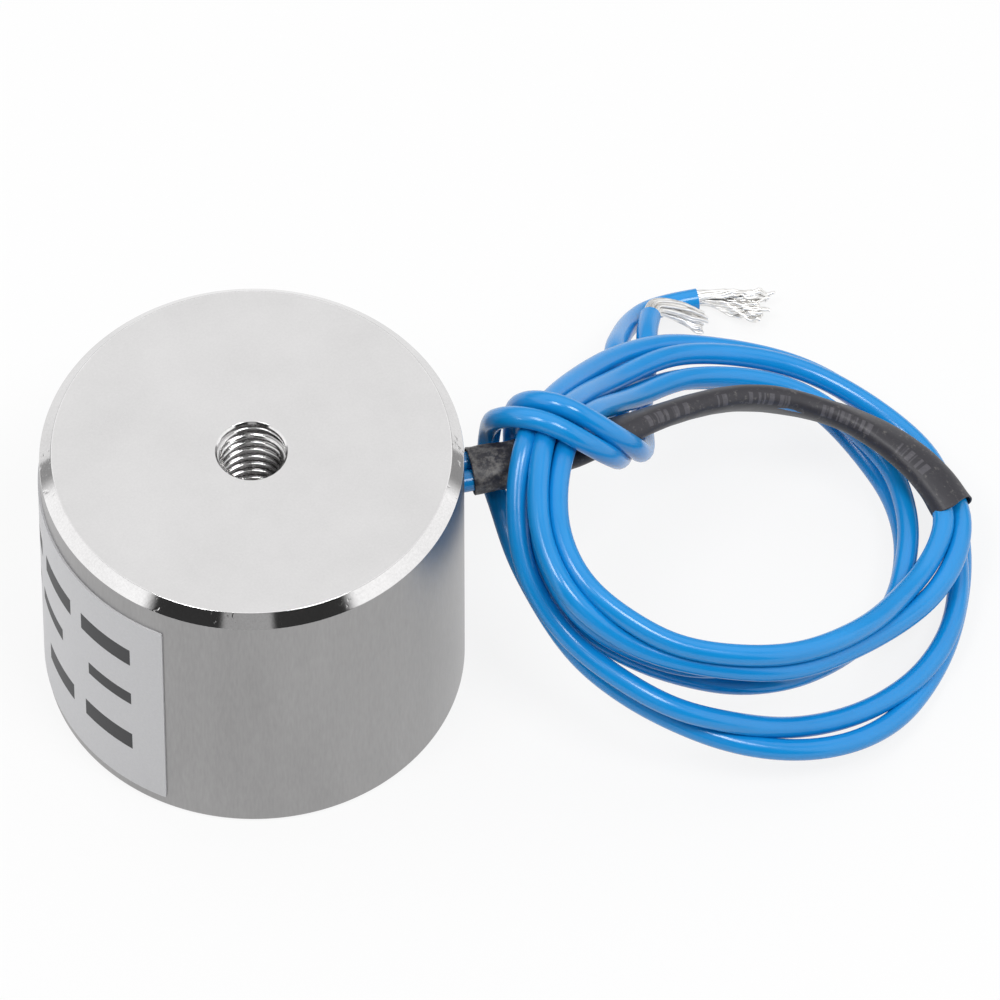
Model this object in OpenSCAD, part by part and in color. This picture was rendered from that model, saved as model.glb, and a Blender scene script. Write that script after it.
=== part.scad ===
/* [Steel pot] */
// Diameter of the pot
pot_d = 25; // [22:0.5:32]
// Height of the pot, from the holding face to the back
pot_h = 20; // [17:0.5:26]
// Thickness of the wall round the coil groove
wall_t = 2.2; // [1.6:0.1:2.4]
// Thickness of the back above the coil groove
back_t = 3.8; // [3:0.1:5]
// Diameter of the centre pole
pole_d = 11.2; // [10:0.1:11.6]
// Chamfer round the back edge
back_chamfer = 0.7; // [0.3:0.05:1.2]
// Chamfer on the edges of the holding face
face_chamfer = 0.2; // [0.1:0.05:0.4]

/* [Tapped hole] */
// Tapping diameter of the M4 hole
tap_d = 3.3; // [2.5:0.1:4.2]
// Depth of the full diameter below the back
tap_depth = 8; // [5:0.5:12]
// Diameter of the countersink at the mouth
tap_mouth_d = 4.3; // [4.3:0.1:5.5]
// Angle of the drill point
drill_angle = 118; // [90:1:140]

/* [Lead hole] */
// Diameter of the hole that the leads pass through
lead_hole_d = 2.9; // [2.8:0.1:3.2]
// Deburring chamfer at the hole's outer mouth
lead_hole_chamfer = 0.25; // [0.1:0.05:0.4]
// Depth of the hole's axis below the top of the winding
lead_hole_drop = 1.5; // [1.45:0.05:2]

/* [Bobbin and winding] */
// Clearance between bobbin and centre pole
bobbin_clearance = 0.1; // [0.05:0.05:0.2]
// Clearance between the bobbin's flanges and the wall
flange_clearance = 0.2; // [0.1:0.05:0.3]
// Thickness of the bobbin's hub
hub_t = 0.6; // [0.4:0.05:0.8]
// Thickness of the bobbin's flanges
flange_t = 0.7; // [0.5:0.05:0.9]
// Thickness of the tape round the winding
tape_t = 0.2; // [0.1:0.05:0.2]

/* [Potting] */
// Thickness of the resin that closes the groove
potting_t = 1.2; // [0.8:0.1:2]
// Depth of the resin below the holding face
potting_recess = 0.3; // [0.1:0.05:0.5]

/* [Leads] */
// Diameter of one insulated lead
lead_d = 1.3; // [1.1:0.05:1.3]
// Gap between the two leads where they run side by side
lead_gap = 0.06; // [0.02:0.02:0.06]
// Straight stretch of lead above the joint
lead_straight = 0.6; // [0.4:0.1:1]
// Radius of the bend from the joint to the lead hole
lead_bend_r = 1.4; // [1.2:0.1:1.8]
// Outer diameter of the heat-shrink sleeve
sleeve_d = 3.1; // [3.1:0.05:3.3]
// Wall of the heat-shrink sleeve
sleeve_t = 0.13; // [0.1:0.01:0.15]
// Diameter of the stripped strands where the insulation ends
strand_d = 0.8; // [0.5:0.05:1]
// Width of the frayed strands near their tips
fray_d = 1.8; // [1:0.1:2]
// Clearance of the coil round the sleeve and the tails
coil_clearance = 0.08; // [0.05:0.01:0.12]

/* [Joints to the winding] */
// Diameter of the insulated joint
splice_d = 1.5; // [1.3:0.05:1.5]
// Length of the insulated joint
splice_l = 5; // [3:0.5:7]
// Gap between the joint and the tape
splice_gap = 0.1; // [0.05:0.05:0.15]
// Gap between the joint and the wall of the pot
splice_wall_gap = 0.1; // [0.1:0.05:0.3]

/* [Label] */
// Height of the label
label_h = 16.4; // [12:0.1:16.6]
// Length of the label round the wall
label_l = 23; // [15:0.5:35]
// Height of the label's lower edge above the holding face
label_z = 1; // [0.4:0.1:2]
// Thickness of the label
label_t = 0.1; // [0.05:0.01:0.2]
// Thickness of the adhesive under the label
adhesive_t = 0.02; // [0.01:0.01:0.05]

/* [Hidden] */

$fn = 96;
overcut = 1;
cord_sides = 8;

// Pot and groove
pot_r = pot_d / 2;
pole_r = pole_d / 2;
groove_r = pot_r - wall_t;
groove_top = pot_h - back_t;
tap_r = tap_d / 2;
tap_mouth_r = tap_mouth_d / 2;
tap_floor = pot_h - tap_depth;
drill_point_h = tap_r / tan(drill_angle / 2);

// Bobbin, from the pole outwards
bobbin_low = potting_recess + potting_t;
hub_in_r = pole_r + bobbin_clearance;
hub_r = hub_in_r + hub_t;
flange_r = groove_r - flange_clearance;
winding_low = bobbin_low + flange_t;
winding_top = groove_top - flange_t;

// Joint, tape and winding, from the wall inwards
splice_x = groove_r - splice_wall_gap - splice_d / 2;
tape_r = splice_x - splice_d / 2 - splice_gap;
winding_r = tape_r - tape_t;

// Joints and lead exit
lead_r = lead_d / 2;
lead_offset = (lead_d + lead_gap) / 2;
lead_z = winding_top - lead_hole_drop;
splice_y = (splice_d + lead_gap) / 2;
splice_top = lead_z - lead_bend_r - lead_straight;

// Cord routes: x is measured out from the wall of the pot, z up from the holding face
sleeve_r = sleeve_d / 2;
sleeve_start = 0.7;
sleeve_points = [
    [3.5, 0, 14], [6.5, 0.4, 13.9], [9.5, 1.2, 13.4], [12.5, 2.5, 12.4], [15.5, 3.9, 11], [18.5, 4.8, 9.6],
    [21.5, 4.9, 8.1], [24.7, 3.9, 6.8], [27.3, 2, 5.8], [29, -0.3, 5], [29.8, -2.2, 4.3]
];
sleeve_leave = [[29.6, -3.7, 4.1], [28.6, -5.3, 4]];
tail_a_points = [
    [2.6, -4.6, 10.4], [2.3, -2.7, 11.3], [2.2, -0.8, 11.7], [2.1, 1, 11.6], [2.3, 2.6, 12.2], [2.4, 3, 14],
    [2.5, 2.2, 16.2], [3.6, 0.9, 17.9], [5.2, -0.5, 18.2], [6.9, -1.5, 17.3], [8.4, -1.6, 15.6],
    [9.2, -1.4, 13.9], [9.8, -0.6, 11.9], [10.2, 1.1, 10.6], [10.7, 2.7, 9.5], [11.1, 5, 8.8], [11.4, 8, 8],
    [12.2, 11.6, 7], [13.3, 14.5, 4.7], [14.5, 16.9, 2.6], [15.8, 18.5, 1.3], [17.4, 19.1, 0.8],
    [19.2, 19.1, 0.8]
];
tail_b_points = [
    [3.8, -5, 11.3], [3.6, -3, 11.6], [3.6, -0.8, 11.6], [3.7, 1.4, 11.6], [4, 3, 12.2], [4.1, 3.4, 13.9],
    [4.1, 3, 15.8], [4.8, 2, 17.5], [6.2, 0.7, 18.1], [7.8, -0.2, 17.3], [9.4, -0.7, 15.7], [10.6, -0.8, 13.7],
    [11.3, -0.4, 11.8], [11.7, 1.1, 10], [12.1, 3, 8.6], [12.8, 5.5, 7.2], [13.6, 8.5, 6], [14.2, 11.5, 5.4],
    [14.8, 14, 4.8], [15.2, 15.4, 4.1], [15.6, 16.4, 3.6], [16.1, 17.2, 3.2]
];
strand_root = 0.5;
strands_a_points = [[21.3, 18.3, 1], [23, 17.4, 1]];
strands_b_points = [[17.8, 17.1, 2.6], [18.9, 16.5, 1.8]];

// Coil of both leads, leaning from the sleeve down to the surface that the pot stands on
coil_centre = [16.5, -3, 7.9];
coil_tilt = 22;
coil_mid_r = 12.8;
coil_half_w = 3.6;
coil_half_h = 2.6;

function from_wall(points) = [for (p = points) [p[0] + pot_r, p[1], p[2]]];
function unit(v) = v / norm(v);
function across(v, along) = unit(v - (v * along) * along);
function heading(points, i) = unit(points[min(i + 1, len(points) - 1)] - points[max(i - 1, 0)]);
function carried(points, start, i) =
    across(i == 0 ? start : carried(points, start, i - 1), heading(points, i));
function beside(points, start, distance) =
    [for (i = [0:len(points) - 1]) points[i] + distance * carried(points, start, i)];
function ring(points, start, i, radius) =
    let (n = carried(points, start, i), b = cross(heading(points, i), n))
    [for (k = [0:cord_sides - 1])
        points[i] + radius * (cos(360 * k / cord_sides) * n + sin(360 * k / cord_sides) * b)];
function rings(points, start, radii) =
    [for (i = [0:len(points) - 1]) each ring(points, start, i, radii[i])];
function skin(count, first, inward) =
    [for (i = [0:count - 2], k = [0:cord_sides - 1])
        let (a = first + i * cord_sides + k, b = first + i * cord_sides + (k + 1) % cord_sides,
            c = b + cord_sides, d = a + cord_sides)
        inward ? [a, b, c, d] : [d, c, b, a]];
function same(points, value) = [for (p = points) value];

sleeve_route = concat([[pot_r + sleeve_start, 0, lead_z]], from_wall(sleeve_points));
bend_steps = 3;
bend_route = [for (i = [0:bend_steps])
    [splice_x + lead_bend_r * (1 - cos(90 * i / bend_steps)), 0,
        lead_z - lead_bend_r * (1 - sin(90 * i / bend_steps))]];
run_route = concat([[splice_x, 0, splice_top]], bend_route, sleeve_route, from_wall(sleeve_leave));
sideways = [0, 1, 0];
upwards = [0, 0, 1];
tail_a_route = from_wall(tail_a_points);
tail_b_route = from_wall(tail_b_points);

// Solid cord of eight sides along a route
module swept(points, radii, start) {
    count = len(points);
    last = (count - 1) * cord_sides;
    polyhedron(
        rings(points, start, radii),
        concat(
            [[for (k = [0:cord_sides - 1]) k]],
            skin(count, 0, false),
            [[for (k = [cord_sides - 1:-1:0]) last + k]]
        ),
        convexity = 6
    );
}

// Open tube of eight sides along a route
module swept_tube(points, outer_r, inner_r, start) {
    count = len(points);
    inner = count * cord_sides;
    last = (count - 1) * cord_sides;
    near_rim = [for (k = [0:cord_sides - 1])
        let (next = (k + 1) % cord_sides) [k, next, inner + next, inner + k]];
    far_rim = [for (k = [0:cord_sides - 1])
        let (next = (k + 1) % cord_sides)
        [last + next, last + k, inner + last + k, inner + last + next]];
    polyhedron(
        concat(rings(points, start, same(points, outer_r)), rings(points, start, same(points, inner_r))),
        concat(skin(count, 0, false), skin(count, inner, true), near_rim, far_rim),
        convexity = 6
    );
}

// Flat ring between two radii and two heights
module turned_ring(inner_r, outer_r, low, high) {
    rotate_extrude()
        translate([inner_r, low]) square([outer_r - inner_r, high - low]);
}

module pot_body() {
    color("#c9c9ca")
    difference() {
        rotate_extrude() polygon([
            [0, 0], [pole_r - face_chamfer, 0], [pole_r, face_chamfer], [pole_r, groove_top],
            [groove_r, groove_top], [groove_r, face_chamfer], [groove_r + face_chamfer, 0],
            [pot_r - face_chamfer, 0], [pot_r, face_chamfer],
            [pot_r, pot_h - back_chamfer], [pot_r - back_chamfer, pot_h],
            [tap_mouth_r, pot_h], [tap_r, pot_h - tap_mouth_r + tap_r],
            [tap_r, tap_floor], [0, tap_floor - drill_point_h]
        ]);
        translate([groove_r - overcut, 0, lead_z]) rotate([0, 90, 0]) {
            cylinder(d = lead_hole_d, h = wall_t + 2 * overcut);
            translate([0, 0, overcut + wall_t - lead_hole_chamfer])
                cylinder(d1 = lead_hole_d, d2 = lead_hole_d + 4 * lead_hole_chamfer, h = 2 * lead_hole_chamfer);
        }
    }
}

module bobbin() {
    color("#e8e4d8")
    rotate_extrude() polygon([
        [hub_in_r, bobbin_low], [flange_r, bobbin_low], [flange_r, winding_low], [hub_r, winding_low],
        [hub_r, winding_top], [flange_r, winding_top], [flange_r, groove_top], [hub_in_r, groove_top]
    ]);
}

module winding() {
    color("#b4662e") turned_ring(hub_r, winding_r, winding_low, winding_top);
}

module winding_tape() {
    color("#d9b84a") turned_ring(winding_r, tape_r, winding_low, winding_top);
}

module potting_ring() {
    color("#26262a") turned_ring(pole_r, groove_r, potting_recess, bobbin_low);
}

module splice(side) {
    color("#2a2a2c")
    translate([splice_x, side * splice_y, splice_top - splice_l]) cylinder(d = splice_d, h = splice_l);
}

module lead_run(side) {
    route = beside(run_route, sideways, side * lead_offset);
    color("#2a8ede") swept(route, same(route, lead_r), sideways);
}

module lead_sleeve() {
    color("#2c2b2f") swept_tube(sleeve_route, sleeve_r, sleeve_r - sleeve_t, sideways);
}

module lead_coil() {
    straight = coil_half_w - coil_half_h;
    room = lead_r + coil_clearance;
    color("#2a8ede")
    difference() {
        translate([coil_centre[0] + pot_r, coil_centre[1], coil_centre[2]]) rotate([0, coil_tilt, 0])
            rotate_extrude() {
                translate([coil_mid_r - straight, -coil_half_h]) square([2 * straight, 2 * coil_half_h]);
                for (side = [-1, 1])
                    translate([coil_mid_r + side * straight, 0]) circle(r = coil_half_h);
            }
        swept(sleeve_route, same(sleeve_route, sleeve_r + coil_clearance), sideways);
        for (side = [-1, 1]) {
            run = beside(run_route, sideways, side * lead_offset);
            swept(run, same(run, room), sideways);
        }
        swept(tail_a_route, same(tail_a_route, room), sideways);
        swept(tail_b_route, same(tail_b_route, room), sideways);
    }
}

module lead_tail(route) {
    color("#2a8ede") swept(route, same(route, lead_r), sideways);
}

module strands(tail_route, points) {
    tail_last = len(tail_route) - 1;
    root = tail_route[tail_last];
    route = concat([root, root + strand_root * heading(tail_route, tail_last)], from_wall(points));
    color("#d6d3cd") swept(route, [strand_d, strand_d, fray_d, fray_d] / 2, upwards);
}

module label() {
    label_angle = label_l / pot_r * 180 / PI;
    color("#d2d2d2")
    rotate([0, 0, 180 - label_angle / 2]) rotate_extrude(angle = label_angle)
        translate([pot_r + adhesive_t, label_z]) square([label_t, label_h]);
}

pot_body();
bobbin();
winding();
winding_tape();
potting_ring();
splice(1);  // splice_a
splice(-1);  // splice_b
lead_run(1);  // lead_run_a
lead_run(-1);  // lead_run_b
lead_sleeve();
lead_coil();
lead_tail(tail_a_route);  // lead_tail_a
lead_tail(tail_b_route);  // lead_tail_b
strands(tail_a_route, strands_a_points);  // strands_a
strands(tail_b_route, strands_b_points);  // strands_b
label();
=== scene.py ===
"""Round pot electromagnet with its two leads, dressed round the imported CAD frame."""
import math

import bmesh
import bpy
import numpy as np
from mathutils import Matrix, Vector


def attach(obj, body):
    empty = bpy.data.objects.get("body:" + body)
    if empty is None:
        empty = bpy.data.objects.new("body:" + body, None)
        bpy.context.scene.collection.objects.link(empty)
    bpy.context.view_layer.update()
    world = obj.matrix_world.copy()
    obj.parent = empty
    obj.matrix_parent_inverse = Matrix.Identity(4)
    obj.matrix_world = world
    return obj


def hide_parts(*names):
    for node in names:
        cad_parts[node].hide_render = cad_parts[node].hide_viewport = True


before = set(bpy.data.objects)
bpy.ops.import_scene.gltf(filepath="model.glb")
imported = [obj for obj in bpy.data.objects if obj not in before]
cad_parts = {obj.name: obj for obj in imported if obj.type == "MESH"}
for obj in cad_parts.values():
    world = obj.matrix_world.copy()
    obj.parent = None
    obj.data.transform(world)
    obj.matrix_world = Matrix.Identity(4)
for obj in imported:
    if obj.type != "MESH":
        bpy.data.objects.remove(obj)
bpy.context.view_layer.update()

MM = 0.001


# Camera: a long lens above the front left, at the photograph's angle
CAMERA_TARGET = (16.74, 7.585, 0.0)
CAMERA_ELEVATION = 53.607
CAMERA_YAW = -13.0
CAMERA_DISTANCE = 939.9
CAMERA_LENS = 561.9
CAMERA_SENSOR = 36.0
CAMERA_CLIP = (0.05, 20.0)


def place_camera():
    """Aims a long lens at the middle of the picture."""
    elevation, yaw = math.radians(CAMERA_ELEVATION), math.radians(CAMERA_YAW)
    back = Vector((
        math.cos(elevation) * math.sin(yaw),
        -math.cos(elevation) * math.cos(yaw),
        math.sin(elevation),
    ))
    data = bpy.data.cameras.new("camera")
    data.sensor_width = CAMERA_SENSOR
    data.lens = CAMERA_LENS
    data.clip_start, data.clip_end = CAMERA_CLIP
    camera = linked("camera", data)
    camera.location = (Vector(CAMERA_TARGET) + back * CAMERA_DISTANCE) * MM
    camera.rotation_euler = (math.pi / 2 - elevation, 0, yaw)
    bpy.context.scene.camera = camera


# Sizes of the real pieces, in mm, with the counts of turns and steps that go with them
POT_R = 12.5
POT_H = 20.0
POLE_R = 5.6
GROOVE_R = 10.3
GROOVE_TOP = 16.2
BACK_CHAMFER = 0.7
FACE_CHAMFER = 0.2
THREAD_MAJOR_R = 2.03
THREAD_MINOR_R = 1.65
THREAD_PITCH = 0.7
THREAD_TURNS = 10.0
THREAD_TOP_GAP = 0.35
RIDGE_FOOT = 0.64
RIDGE_CREST = 0.16
MOUTH_R = 2.15
TAP_FLOOR = 12.0
LEAD_Z = 14.0
LEAD_HOLE_R = 1.45
LEAD_HOLE_CHAMFER = 0.25
LEAD_R = 0.65
LEAD_OFFSET = 0.68
LEAD_BEVEL = 6
RESIN_RECESS = 0.3
RESIN_TOP = 1.5
RESIN_GAP = 0.01
RESIN_STEPS = 32
MENISCUS_RISE = 0.16
MENISCUS_REACH = 0.25
LABEL_LOW = 1.0
LABEL_HEIGHT = 16.4
LABEL_LENGTH = 23.0
LABEL_ADHESIVE = 0.02
LABEL_FILM = 0.1
LABEL_SUNK = 0.01

# Meshes: doubles closer than this, in metres, are merged, and edges above this angle stay sharp
MERGE_M = 1e-6
SHARP_ANGLE = 40


# Routes of the leads, x from the wall of the pot and z from the holding face
HOLE_START = [[-2.2, 0, 14], [-0.9, 0, 14]]
SLEEVE_ROUTE = [
    [0.7, 0, 14], [3.5, 0, 14], [6.5, 0.4, 13.9], [9.5, 1.2, 13.4], [12.5, 2.5, 12.4], [15.5, 3.9, 11],
    [18.5, 4.8, 9.6], [21.5, 4.9, 8.1], [24.7, 3.9, 6.8], [27.3, 2, 5.8], [29, -0.3, 5], [29.8, -2.2, 4.3],
]
TAIL_A = [
    [2.6, -4.6, 10.4], [2.3, -2.7, 11.3], [2.2, -0.8, 11.7], [2.1, 1, 11.6], [2.3, 2.6, 12.2], [2.4, 3, 14],
    [2.5, 2.2, 16.2], [3.6, 0.9, 17.9], [5.2, -0.5, 18.2], [6.9, -1.5, 17.3], [8.4, -1.6, 15.6],
    [9.2, -1.4, 13.9], [9.8, -0.6, 11.9], [10.2, 1.1, 10.6], [10.7, 2.7, 9.5], [11.1, 5, 8.8], [11.4, 8, 8],
    [12.2, 11.6, 7], [13.3, 14.5, 4.7], [14.5, 16.9, 2.6], [15.8, 18.5, 1.3], [17.4, 19.1, 0.8], [19.2, 19.1, 0.8],
]
TAIL_B = [
    [3.8, -5, 11.3], [3.6, -3, 11.6], [3.6, -0.8, 11.6], [3.7, 1.4, 11.6], [4, 3, 12.2], [4.1, 3.4, 13.9],
    [4.1, 3, 15.8], [4.8, 2, 17.5], [6.2, 0.7, 18.1], [7.8, -0.2, 17.3], [9.4, -0.7, 15.7], [10.6, -0.8, 13.7],
    [11.3, -0.4, 11.8], [11.7, 1.1, 10], [12.1, 3, 8.6], [12.8, 5.5, 7.2], [13.6, 8.5, 6], [14.2, 11.5, 5.4],
    [14.8, 14, 4.8], [15.2, 15.4, 4.1], [15.6, 16.4, 3.6], [16.1, 17.2, 3.2],
]
# Moves of single points, in mm, that draw the tie tight round the slim sleeve
TIE_A = {
    5: (0.2, -0.1, 0), 6: (0.1, -0.4, 0), 7: (0, -0.4, 0), 11: (0.1, 0.5, 0), 12: (0.1, 1.0, 0),
    13: (0.3, 0.8, 0), 14: (0.1, 0.6, 0.1), 15: (0, 0, -0.2), 16: (0, 0, -0.3),
}
TIE_B = {
    6: (0.1, -0.2, 0), 7: (0.1, -0.3, 0), 11: (-0.1, 0.4, 0.3), 12: (-0.1, 1.0, 0.1), 13: (0.1, 1.1, 0),
    14: (0.1, 0.9, 0), 15: (-0.2, 0.4, 0), 16: (-0.4, 0, 0),
}
STRANDS_A = [[19, 19.1, 0.8], [19.7, 19, 0.85], [21.3, 18.2, 1], [23.2, 17.2, 1]]
STRANDS_B = [[15.6, 16.4, 3.6], [16.2, 17.2, 3.3], [17.6, 17.1, 2.6], [19.1, 16.4, 1.7]]

# Turns of the coil as stations: angle clockwise from above, radius and height
COIL_CENTRE = (16.5, -3.0)
TURNS_A = [
    (3, 13.5, 3.8), (12, 12.8, 3.7), (27, 11.6, 4.1), (60, 10.4, 6.1), (90, 11.2, 8.1), (120, 12.1, 9.9),
    (135, 13.0, 11.2), (150, 13.9, 13.5), (165, 13.4, 14.9), (180, 12.4, 16.1), (195, 11.5, 16.9),
    (210, 10.8, 15.3), (240, 11.2, 11.1), (270, 13.3, 7.5), (300, 14.4, 4.6), (330, 14.8, 2.3),
    (345, 14.1, 2.2), (360, 13.3, 2.0), (375, 13.1, 1.9), (390, 13.0, 1.9), (405, 12.7, 1.9), (420, 12.4, 2.3),
    (435, 12.4, 3.1), (450, 12.5, 4.0), (465, 13.1, 5.8), (480, 13.9, 7.6), (495, 14.0, 8.8), (510, 14.2, 9.9),
    (525, 14.5, 12.5), (540, 13.7, 15.2), (553, 12.7, 16.8), (570, 12.1, 15.1), (600, 12.6, 11.2),
    (615, 13.6, 9.0), (630, 14.6, 6.7), (660, 15.4, 3.3), (690, 15.2, 0.9), (705, 14.5, 0.8), (720, 13.7, 0.7),
    (735, 13.1, 0.7), (750, 12.9, 0.7), (765, 13.0, 0.9), (780, 13.5, 1.6), (795, 13.8, 2.5), (810, 13.8, 3.5),
    (825, 13.6, 4.5), (840, 13.3, 5.4), (855, 13.5, 6.7), (870, 13.7, 8.0),
]
TURNS_B = [
    (3, 12.4, 4.4), (12, 11.5, 4.2), (27, 10.4, 4.9), (60, 10.2, 7.4), (90, 11.0, 9.4), (120, 12.0, 11.2),
    (135, 12.4, 12.4), (150, 12.7, 13.6), (165, 12.2, 14.6), (180, 11.2, 15.6), (195, 10.2, 16.2),
    (210, 9.5, 15.0), (240, 9.4, 11.1), (270, 11.1, 8.0), (300, 12.3, 5.3), (330, 12.0, 3.3), (345, 11.2, 3.1),
    (360, 10.4, 3.1), (390, 9.5, 3.4), (420, 9.6, 5.2), (450, 9.8, 7.4), (480, 11.5, 8.6), (510, 13.3, 11.3),
    (540, 12.9, 14.2), (553, 12.0, 15.7), (570, 11.3, 13.8), (585, 11.0, 11.5), (600, 10.8, 9.6), (630, 12.3, 6.3),
    (660, 13.1, 3.7), (690, 11.6, 1.9), (705, 10.9, 1.8), (720, 10.2, 1.8), (735, 9.6, 1.8), (750, 9.1, 2.0),
    (780, 9.1, 3.9), (795, 9.7, 5.0), (810, 10.5, 6.1), (825, 10.6, 6.2), (840, 10.8, 6.6), (855, 11.8, 7.9),
    (870, 12.8, 9.4),
]


def linear(code):
    """An sRGB hex colour as the linear colour that a shader takes."""
    parts = [int(code[i:i + 2], 16) / 255 for i in (1, 3, 5)]
    return (*[c / 12.92 if c <= 0.04045 else ((c + 0.055) / 1.055) ** 2.4 for c in parts], 1.0)


def add(tree, kind, inputs=None, **settings):
    """Adds a node with its settings, and fills each named or numbered input with a value or a link."""
    node = tree.nodes.new(kind)
    for key, value in settings.items():
        setattr(node, key, value)
    for key, value in (inputs or {}).items():
        if isinstance(value, bpy.types.NodeSocket):
            tree.links.new(value, node.inputs[key])
        else:
            node.inputs[key].default_value = value
    return node


def calc(tree, operation, *values):
    """The result of a sum on numbers or links."""
    return add(tree, "ShaderNodeMath", dict(enumerate(values)), operation=operation).outputs[0]


def vector_node(tree, operation, *values):
    """The result of a sum on vectors."""
    return add(tree, "ShaderNodeVectorMath", dict(enumerate(values)), operation=operation).outputs[0]


def remap(tree, value, low, high, at_low=0.0, at_high=1.0):
    """A value carried from one range to another and held at its ends."""
    return add(tree, "ShaderNodeMapRange", {0: value, 1: low, 2: high, 3: at_low, 4: at_high}).outputs[0]


def blend(tree, share, first, second):
    """A colour between two, each a link, a linear colour or a code."""
    first, second = [linear(c) if isinstance(c, str) else c for c in (first, second)]
    return add(tree, "ShaderNodeMix", {0: share, 6: first, 7: second}, data_type="RGBA").outputs[2]


def noise_node(tree, grain, detail, roughness=0.5, place=None):
    """Soft noise with a grain in mm, in the object's own frame or at a given place."""
    place = object_place(tree) if place is None else place
    return add(tree, "ShaderNodeTexNoise", {
        "Vector": place, "Scale": 1 / (grain * MM), "Detail": detail, "Roughness": roughness}).outputs["Fac"]


def bump_node(tree, height, depth):
    """The normal of a relief with a depth in mm."""
    return add(tree, "ShaderNodeBump", {"Strength": 1.0, "Distance": depth * MM, "Height": height}).outputs[0]


def object_place(tree):
    """The place of a point in its object's own frame."""
    return add(tree, "ShaderNodeTexCoord").outputs["Object"]


def flat_place(tree, name):
    """Ways along and across a piece, in mm, from its map."""
    flat = add(tree, "ShaderNodeUVMap", uv_map=name)
    return add(tree, "ShaderNodeSeparateXYZ", {0: flat.outputs[0]}).outputs[:2]


def new_material(name):
    """An empty material and its node tree."""
    material = bpy.data.materials.new(name)
    material.use_nodes = True
    tree = material.node_tree
    tree.nodes.clear()
    return material, tree


def surface(material, inputs):
    """Gives a material its shader."""
    shader = add(material.node_tree, "ShaderNodeBsdfPrincipled", inputs)
    add(material.node_tree, "ShaderNodeOutputMaterial", {0: shader.outputs[0]})
    return material


# Shapes that several pieces share
def linked(name, data):
    """A new object in the scene."""
    piece = bpy.data.objects.new(name, data)
    bpy.context.scene.collection.objects.link(piece)
    return piece


def distances(route):
    """Way along a route from its start to each of its points."""
    return np.concatenate([[0], np.cumsum(np.linalg.norm(np.diff(route, axis=0), axis=1))])


def smooth_route(points, steps):
    """A centripetal curve through the points, with that many steps from each to the next."""
    p = np.asarray(points, float)
    q = np.vstack([2 * p[0] - p[1], p, 2 * p[-1] - p[-2]])
    route = []
    for i in range(1, len(q) - 2):
        p0, p1, p2, p3 = q[i - 1:i + 3]
        gaps = [max(np.linalg.norm(b - a), 1e-6) ** 0.5 for a, b in ((p0, p1), (p1, p2), (p2, p3))]
        t0, t1, t2, t3 = np.concatenate([[0], np.cumsum(gaps)])
        for k in range(steps):
            t = t1 + (t2 - t1) * k / steps
            a1 = ((t1 - t) * p0 + (t - t0) * p1) / (t1 - t0)
            a2 = ((t2 - t) * p1 + (t - t1) * p2) / (t2 - t1)
            a3 = ((t3 - t) * p2 + (t - t2) * p3) / (t3 - t2)
            b1 = ((t2 - t) * a1 + (t - t0) * a2) / (t2 - t0)
            b2 = ((t3 - t) * a2 + (t - t1) * a3) / (t3 - t1)
            route.append(((t2 - t) * b1 + (t - t1) * b2) / (t2 - t1))
    return np.array(route + [p[-1]])


def eased(route):
    """The route at even spacing, with its bends evened out."""
    along = distances(route)
    places = np.linspace(0, along[-1], round(along[-1] / EASE_SPACING) + 1)
    even = np.column_stack([np.interp(places, along, route[:, axis]) for axis in range(3)])
    for _ in range(EASE_PASSES):
        even[1:-1] = (even[:-2] + 2 * even[1:-1] + even[2:]) / 4
    return even


def headings(points):
    """Unit direction of a route at each of its points."""
    h = np.empty_like(points)
    h[1:-1] = points[2:] - points[:-2]
    h[0], h[-1] = points[1] - points[0], points[-1] - points[-2]
    return h / np.linalg.norm(h, axis=1)[:, None]


def carried_sides(points, start=(0, 1, 0)):
    """A sideways direction carried along a route without twist."""
    side, sides = np.array(start, float), []
    for h in headings(points):
        side = side - (side @ h) * h
        side = side / np.linalg.norm(side)
        sides.append(side)
    return np.array(sides)


def from_wall(points):
    """Route points in the frame of the pot, in mm."""
    return np.asarray(points, float) + [POT_R, 0, 0]


def open_curve(name, route):
    """One open curve along a route in mm."""
    data = bpy.data.curves.new(name, "CURVE")
    data.dimensions = "3D"
    spline = data.splines.new("POLY")
    spline.points.add(len(route) - 1)
    for point, place in zip(spline.points, route):
        point.co = (*(place * MM), 1.0)
    return linked(name, data)


def lay_flat(piece, name, flat):
    """Gives a mesh a map from each vertex's place in mm."""
    layer = piece.data.uv_layers.new(name=name)
    for loop in piece.data.loops:
        layer.data[loop.index].uv = flat[loop.vertex_index]


def mesh_object(name, vertices, faces, material):
    """A smooth mesh at the origin from vertices in mm."""
    mesh = bpy.data.meshes.new(name)
    mesh.from_pydata([tuple(float(c) * MM for c in v) for v in vertices], [], faces)
    mesh.materials.append(material)
    mesh.polygons.foreach_set("use_smooth", [True] * len(mesh.polygons))
    mesh.update()
    return linked(name, mesh)


def tidy_mesh(piece):
    """Merges doubles, points the faces outwards and keeps edges above an angle sharp."""
    bm = bmesh.new()
    bm.from_mesh(piece.data)
    bmesh.ops.remove_doubles(bm, verts=bm.verts, dist=MERGE_M)
    bmesh.ops.recalc_face_normals(bm, faces=bm.faces)
    bm.to_mesh(piece.data)
    bm.free()
    piece.data.set_sharp_from_angle(angle=math.radians(SHARP_ANGLE))


def dress(piece, slot, *nodes):
    """The piece rides with the magnet and stands for CAD nodes; its slot is not used."""
    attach(piece, "root")
    if nodes:
        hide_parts(*nodes)
    return piece


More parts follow.
